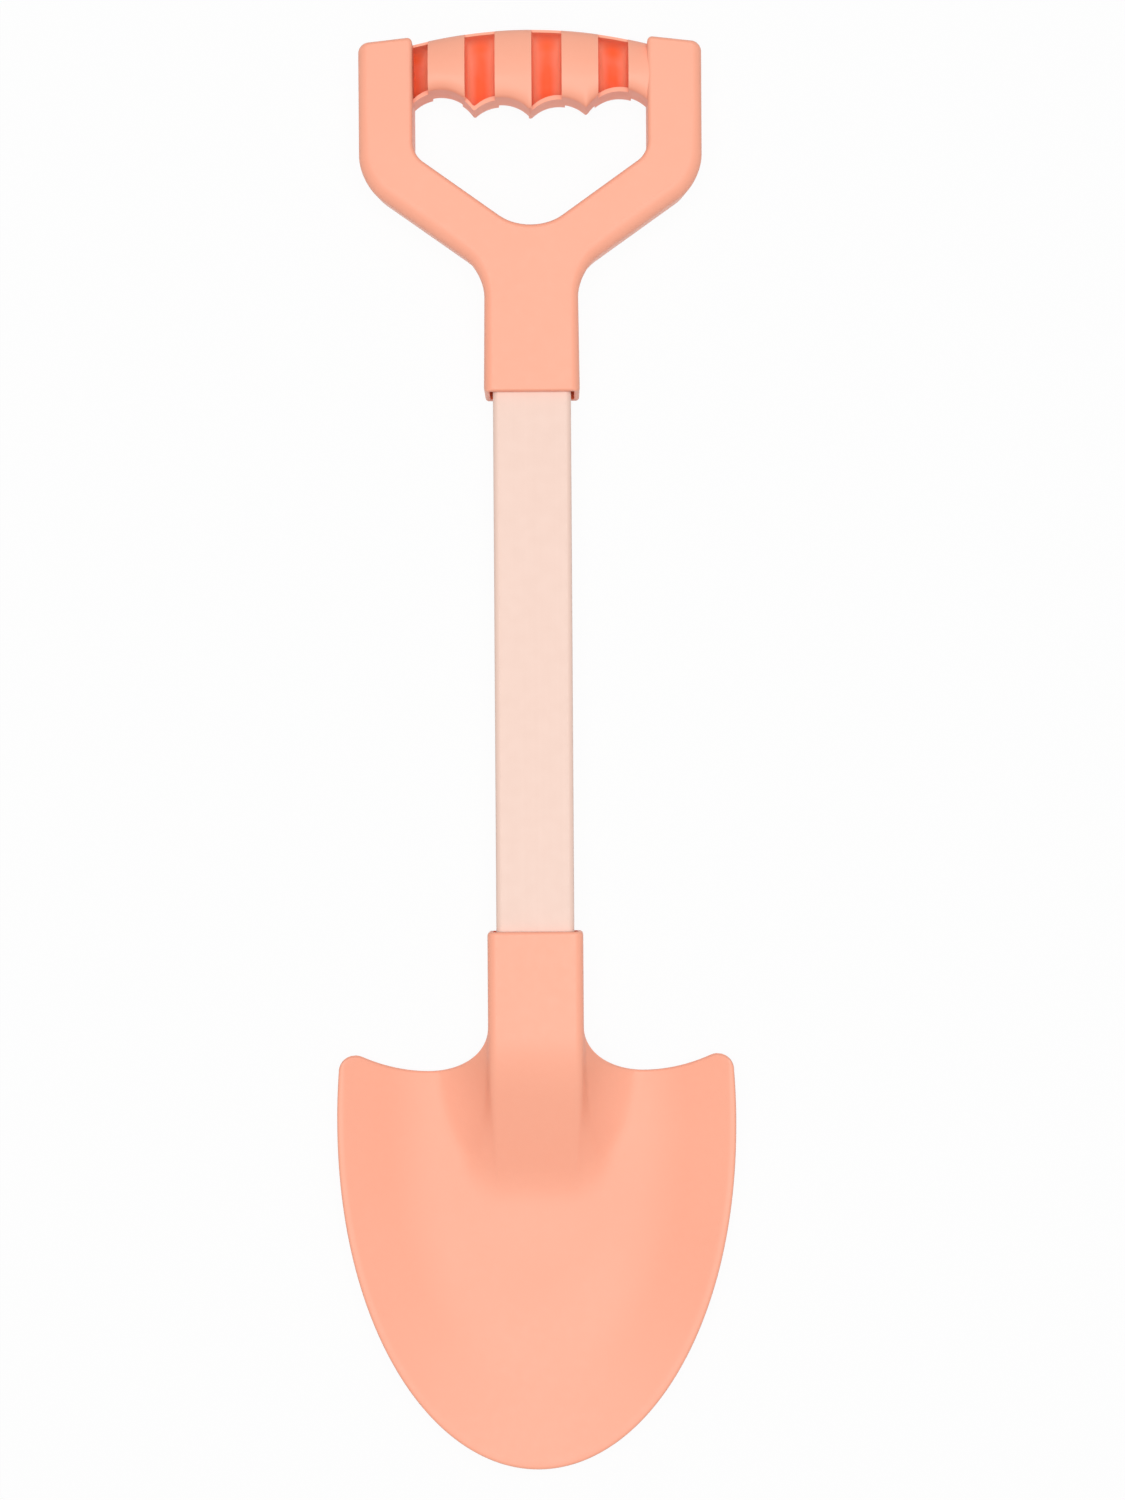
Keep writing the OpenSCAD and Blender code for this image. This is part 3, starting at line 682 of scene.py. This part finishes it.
def pocket_troughs():
    """Rounded pockets that lighten the grip, open by turns to the front and the back."""
    troughs = []
    half = (CELL - POCKET_RIB) / 2
    across, along = 24, 16
    for k in range(8):
        middle = (k - 3.5) * CELL
        bm = bmesh.new()
        bmesh.ops.create_grid(bm, x_segments=across, y_segments=along, size=0.5)
        faces = bm.faces[:]
        for vert in bm.verts:
            a = math.sin(math.pi * vert.co.x)
            b = math.sin(math.pi / 2 * (vert.co.y + 0.5))
            x = middle + half * a
            low, high = grip_under(x) + POCKET_LIP, grip_over(x) - POCKET_TOP
            depth = POCKET_DEPTH * max(0.0, 1 - abs(a) ** 6) ** (1 / 6) * max(0.0, 1 - b ** 4) ** (1 / 4)
            vert.co = x, low + (high - low) * b, GRIP_HIGH - RIM_IN - depth
        made = bmesh.ops.extrude_face_region(bm, geom=faces, use_keep_orig=True)
        for vert in [g for g in made["geom"] if isinstance(g, bmesh.types.BMVert)]:
            vert.co.z = GRIP_HIGH - RIM_IN + 1
        if k % 2:
            for vert in bm.verts:
                vert.co.z = SOCKET_D - vert.co.z
        bmesh.ops.recalc_face_normals(bm, faces=bm.faces)
        if bm.calc_volume(signed=True) < 0:
            bmesh.ops.reverse_faces(bm, faces=bm.faces)
        troughs.append(bm)
    return scratch(joined(*troughs))


def pocket_rims():
    """Cuts that set the pockets' rims back from the grip's faces."""
    bm = bmesh.new()
    half = (CELL - POCKET_RIB) / 2
    for k in range(8):
        middle = (k - 3.5) * CELL
        low, high = (GRIP_HIGH - RIM_IN, 25) if k % 2 == 0 else (-5, GRIP_LOW + RIM_IN)
        block(bm, (middle - half, 400, low), (middle + half, 460, high))
    return scratch(bm)


def grip():
    bar = scratch(grip_bar())
    rims, troughs = pocket_rims(), pocket_troughs()
    carve(bar, rims)
    carve(bar, troughs)
    return settled(bar, rims, troughs)


def mark_pocket_shade(bm):
    """Writes the painted shade of the pockets: how far down each point lies in a pocket, from 0 at its rim to
    1 at the middle of its floor, fading towards its sides.
    """
    depth = bm.verts.layers.float.new("pocket_painted_shade")
    half = (CELL - POCKET_RIB) / 2 + 0.05
    for vert in bm.verts:
        x, y, z = vert.co
        k = math.floor(x / CELL + 4)
        aside = abs(x - (k - 3.5) * CELL) / half
        if abs(x) > INNER_HALF + 2 or aside > 1:
            continue
        if not grip_under(x) + POCKET_LIP - 0.05 < y < grip_over(x) - POCKET_TOP + 0.05:
            continue
        height = z if k % 2 == 0 else SOCKET_D - z
        if height > 4.5:
            sunk = within((GRIP_HIGH - RIM_IN - height) / POCKET_DEPTH)
            # Painted shade: more towards the middle of a pocket's floor, less at its sides
            vert[depth] = sunk * max(0.0, 1 - 1.05 * aside ** 2)


def mark_mouth_shade(bm, mouth, inward):
    """Marks the walls inside a socket's mouth with painted shade, as on a pocket's floor."""
    depth = bm.verts.layers.float.get("pocket_painted_shade") or bm.verts.layers.float.new("pocket_painted_shade")
    for vert in bm.verts:
        x, y, z = vert.co
        inside = abs(x) < MOUTH_HALF + 0.02 and SEAT_LOW - 0.02 < z < SEAT_HIGH + 0.02
        if inside and -0.6 < (y - mouth) * inward < 40:
            # Painted shade in the mouth, at 0.8 of a pocket floor's
            vert[depth] = 0.8


# Shaft

def shaft_tube():
    bm = bmesh.new()
    face = rounded_face(
        bm,
        [(-SHAFT_HALF, SHAFT_LOW, SHAFT_R, 7), (SHAFT_HALF, SHAFT_LOW, SHAFT_R, 7),
         (SHAFT_HALF, SHAFT_HIGH, SHAFT_R, 7), (-SHAFT_HALF, SHAFT_HIGH, SHAFT_R, 7)],
        lambda u, v: (u, LOWER_SEAT, v),
    )
    bm.normal_update()
    bmesh.ops.inset_region(bm, faces=[face], thickness=SHAFT_WALL, use_boundary=True, use_even_offset=True)
    bmesh.ops.delete(bm, geom=[face], context="FACES_ONLY")
    made = bmesh.ops.extrude_face_region(bm, geom=bm.faces[:], use_keep_orig=True)
    far_end = [g for g in made["geom"] if isinstance(g, bmesh.types.BMVert)]
    bmesh.ops.translate(bm, vec=(0, UPPER_SEAT - LOWER_SEAT, 0), verts=far_end)
    bmesh.ops.recalc_face_normals(bm, faces=bm.faces)
    tube = scratch(bm)
    holes = bmesh.new()
    for y in (LOWER_SCREW_Y, UPPER_SCREW_Y):
        made = bmesh.ops.create_cone(holes, cap_ends=True, segments=40, radius1=SCREW_HOLE_R,
                                     radius2=SCREW_HOLE_R, depth=4)
        bmesh.ops.translate(holes, vec=(0, y, SHAFT_LOW), verts=made["verts"])
    holes = scratch(holes)
    carve(tube, holes)
    return settled(tube, holes)


# Materials

def new_group(name, inputs, outputs):
    group = bpy.data.node_groups.new(name, "ShaderNodeTree")
    for socket, kind, value in inputs:
        made = group.interface.new_socket(name=socket, in_out="INPUT", socket_type=kind)
        if value is not None:
            made.default_value = value
    for socket in outputs:
        group.interface.new_socket(name=socket, in_out="OUTPUT", socket_type="NodeSocketFloat")
    return group, group.nodes.new("NodeGroupInput"), group.nodes.new("NodeGroupOutput")


def moulded_grain():
    """Slow drift of the pigment, mottling, and the fine grain that a mould leaves."""
    group, start, end = new_group(
        "moulded_grain",
        [("Place", "NodeSocketVector", None), ("Drift scale", "NodeSocketFloat", 25.0),
         ("Mottle scale", "NodeSocketFloat", 400.0), ("Grain scale", "NodeSocketFloat", 5000.0)],
        ["Drift", "Mottle", "Grain"],
    )
    for result, detail in (("Drift", 2), ("Mottle", 4), ("Grain", 1)):
        noise = group.nodes.new("ShaderNodeTexNoise")
        noise.inputs["Detail"].default_value = detail
        group.links.new(start.outputs["Place"], noise.inputs["Vector"])
        group.links.new(start.outputs[result + " scale"], noise.inputs["Scale"])
        group.links.new(noise.outputs["Fac"], end.inputs[result])
    return group


def drawn_streaks():
    """Fine lines along the shaft, left by the die that the tube is drawn through."""
    group, start, end = new_group(
        "drawn_streaks",
        [("Place", "NodeSocketVector", None), ("Fineness", "NodeSocketFloat", 1.0)],
        ["Streak"],
    )
    stretch = group.nodes.new("ShaderNodeMapping")
    stretch.inputs["Scale"].default_value = (900, 4, 900)
    noise = group.nodes.new("ShaderNodeTexNoise")
    noise.inputs["Detail"].default_value = 3
    group.links.new(start.outputs["Place"], stretch.inputs["Vector"])
    group.links.new(stretch.outputs["Vector"], noise.inputs["Vector"])
    group.links.new(start.outputs["Fineness"], noise.inputs["Scale"])
    group.links.new(noise.outputs["Fac"], end.inputs["Streak"])
    return group


class Finish:
    """Node material with its shader, its place on the piece and a few joining nodes."""

    def __init__(self, name):
        self.material = bpy.data.materials.new(name)
        self.material.use_nodes = True
        self.nodes, self.links = self.material.node_tree.nodes, self.material.node_tree.links
        self.shader = self.nodes["Principled BSDF"]
        self.place = self.nodes.new("ShaderNodeTexCoord").outputs["Object"]

    def use(self, group, **values):
        node = self.nodes.new("ShaderNodeGroup")
        node.node_tree = group
        self.links.new(self.place, node.inputs["Place"])
        for socket, value in values.items():
            node.inputs[socket.replace("_", " ")].default_value = value
        return node.outputs

    def ranged(self, value, low, high, to_low, to_high):
        node = self.nodes.new("ShaderNodeMapRange")
        for socket, number in zip(("From Min", "From Max", "To Min", "To Max"), (low, high, to_low, to_high)):
            node.inputs[socket].default_value = number
        self.links.new(value, node.inputs["Value"])
        return node.outputs["Result"]

    def mixed(self, share, a, b):
        node = self.nodes.new("ShaderNodeMix")
        node.data_type = "RGBA"
        self.links.new(share, node.inputs["Factor"])
        for socket, colour in ((node.inputs[6], a), (node.inputs[7], b)):
            if isinstance(colour, tuple):
                socket.default_value = (*colour, 1)
            else:
                self.links.new(colour, socket)
        return node.outputs[2]

    def bumped(self, height, strength, distance):
        node = self.nodes.new("ShaderNodeBump")
        node.inputs["Strength"].default_value = strength
        node.inputs["Distance"].default_value = distance
        self.links.new(height, node.inputs["Height"])
        self.links.new(node.outputs["Normal"], self.shader.inputs["Normal"])

    def done(self, colour, roughness, specular=0.32):
        self.links.new(colour, self.shader.inputs["Base Color"])
        self.links.new(roughness, self.shader.inputs["Roughness"])
        self.shader.inputs["Specular IOR Level"].default_value = specular
        return self.material


GRAIN = moulded_grain()
STREAKS = drawn_streaks()


def coral_plastic():
    finish = Finish("coral_plastic")
    grain = finish.use(GRAIN, Drift_scale=22.0, Mottle_scale=420.0, Grain_scale=5200.0)
    drift = finish.ranged(grain["Drift"], 0.3, 0.7, 0, 1)
    colour = finish.mixed(drift, (0.985, 0.417, 0.28), (0.99, 0.433, 0.294))
    colour = finish.mixed(finish.ranged(grain["Mottle"], 0.4, 0.8, 0, 0.2), colour, (1.0, 0.465, 0.325))
    # Painted shade and glow: a dark orange in the pockets and socket mouths, standing in for light bouncing
    # inside them and shining through the thin plastic
    pocket = finish.nodes.new("ShaderNodeAttribute")
    pocket.attribute_name = "pocket_painted_shade"
    for low, high, share in ((0.02, 0.12, 0.2), (0.3, 0.95, 1.0)):
        painted_shade = finish.ranged(pocket.outputs["Fac"], low, high, 0, share)
        colour = finish.mixed(painted_shade, colour, (0.95, 0.107, 0.001))
    finish.bumped(grain["Grain"], 0.12, 0.00004)
    return finish.done(colour, finish.ranged(grain["Mottle"], 0.3, 0.7, 0.37, 0.47))


def pale_plastic():
    finish = Finish("pale_plastic")
    grain = finish.use(GRAIN, Drift_scale=14.0, Mottle_scale=300.0, Grain_scale=4200.0)
    streak = finish.use(STREAKS, Fineness=1.0)["Streak"]
    colour = finish.mixed(finish.ranged(streak, 0.3, 0.7, 0, 1), (0.868, 0.622, 0.524), (0.88, 0.634, 0.536))
    colour = finish.mixed(finish.ranged(grain["Drift"], 0.35, 0.75, 0, 0.3), colour, (0.885, 0.65, 0.56))
    finish.bumped(streak, 0.1, 0.00004)
    return finish.done(colour, finish.ranged(grain["Mottle"], 0.3, 0.7, 0.36, 0.46))


def plug_plastic():
    finish = Finish("plug_plastic")
    grain = finish.use(GRAIN, Drift_scale=60.0, Mottle_scale=500.0, Grain_scale=4000.0)
    colour = finish.mixed(grain["Drift"], (0.76, 0.73, 0.67), (0.82, 0.8, 0.75))
    finish.bumped(grain["Grain"], 0.15, 0.00005)
    return finish.done(colour, finish.ranged(grain["Mottle"], 0.3, 0.7, 0.45, 0.6))


def screw_steel():
    finish = Finish("screw_steel")
    grain = finish.use(GRAIN, Drift_scale=300.0, Mottle_scale=1500.0, Grain_scale=9000.0)
    colour = finish.mixed(grain["Drift"], (0.58, 0.59, 0.61), (0.68, 0.67, 0.64))
    finish.shader.inputs["Metallic"].default_value = 1
    finish.bumped(grain["Grain"], 0.1, 0.00003)
    return finish.done(colour, finish.ranged(grain["Mottle"], 0.3, 0.7, 0.26, 0.42), 0.5)


coral, pale, plug_white, steel = coral_plastic(), pale_plastic(), plug_plastic(), screw_steel()
socket = blade_socket()
mark_mouth_shade(socket, LOWER_MOUTH, -1)
piece("shovel_blade", joined(blade_sheet(), socket, blade_rib()), "blade", coral)
handle = joined(yoke(), grip())
mark_pocket_shade(handle)
mark_mouth_shade(handle, UPPER_MOUTH, 1)
piece("shovel_handle", handle, "d_handle", coral)
piece("shovel_shaft", shaft_tube(), "shaft", pale)
for name, finish in (("upper_plug", plug_white), ("lower_plug", plug_white),
                     ("upper_screw", steel), ("lower_screw", steel)):
    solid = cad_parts[name].data
    solid.materials.clear()
    solid.materials.append(finish)


# Camera, floor and light

def from_tip(x, y, z):
    return Vector((x, y - LENGTH / 2, z)) / 1000


def camera():
    data = bpy.data.cameras.new("camera")
    data.lens = 76.92
    data.sensor_width = 36
    data.shift_y = 0.06
    cam = bpy.data.objects.new("camera", data)
    roll = math.radians(0.37)
    up = Vector((math.sin(roll), math.cos(roll), 0))
    right = up.cross(Vector((0, 0, 1)))
    turned = Matrix((right, up, (0, 0, 1))).transposed().to_4x4()
    cam.matrix_world = Matrix.Translation(from_tip(8.6, 196.4, 1010)) @ turned
    bpy.context.scene.collection.objects.link(cam)
    bpy.context.scene.camera = cam


def seen_directly(nodes, links):
    """One where the camera, a mirror or glass looks straight at a surface."""
    path = nodes.new("ShaderNodeLightPath")
    total = path.outputs["Is Camera Ray"]
    for other in ("Is Glossy Ray", "Is Transmission Ray"):
        add = nodes.new("ShaderNodeMath")
        add.operation = "ADD"
        add.use_clamp = True
        links.new(total, add.inputs[0])
        links.new(path.outputs[other], add.inputs[1])
        total = add.outputs[0]
    return total


def floor():
    bm = bmesh.new()
    bmesh.ops.create_grid(bm, x_segments=1, y_segments=1, size=3)
    bmesh.ops.translate(bm, vec=(0, 0, -0.0003), verts=bm.verts)
    mesh = bpy.data.meshes.new("floor")
    bm.to_mesh(mesh)
    bm.free()
    obj = bpy.data.objects.new("floor", mesh)
    bpy.context.scene.collection.objects.link(obj)
    mat = bpy.data.materials.new("white_floor")
    mat.use_nodes = True
    nodes, links = mat.node_tree.nodes, mat.node_tree.links
    nodes.remove(nodes["Principled BSDF"])
    matte = nodes.new("ShaderNodeBsdfDiffuse")
    matte.inputs["Color"].default_value = (0.75, 0.75, 0.75, 1)
    glow = nodes.new("ShaderNodeEmission")
    glow.inputs["Strength"].default_value = 1
    mix = nodes.new("ShaderNodeMixShader")
    share = nodes.new("ShaderNodeMath")
    share.operation = "MULTIPLY"
    share.inputs[1].default_value = 0.95
    links.new(seen_directly(nodes, links), share.inputs[0])
    links.new(share.outputs[0], mix.inputs[0])
    links.new(matte.outputs[0], mix.inputs[1])
    links.new(glow.outputs[0], mix.inputs[2])
    links.new(mix.outputs[0], nodes["Material Output"].inputs["Surface"])
    mesh.materials.append(mat)


def lights():
    world = bpy.data.worlds.new("studio")
    world.use_nodes = True
    nodes, links = world.node_tree.nodes, world.node_tree.links
    nodes["Background"].inputs["Color"].default_value = (1, 1, 1, 1)
    strength = nodes.new("ShaderNodeMapRange")
    strength.inputs["To Min"].default_value = 0.4
    links.new(seen_directly(nodes, links), strength.inputs["Value"])
    links.new(strength.outputs["Result"], nodes["Background"].inputs["Strength"])
    bpy.context.scene.world = world
    data = bpy.data.lights.new("overhead", "AREA")
    data.shape = "DISK"
    data.size = 1.2
    data.energy = 14.6
    lamp = bpy.data.objects.new("overhead", data)
    lamp.location = from_tip(0, 255, 1450)
    bpy.context.scene.collection.objects.link(lamp)


camera()
floor()
lights()
bpy.context.scene.view_settings.view_transform = "Standard"
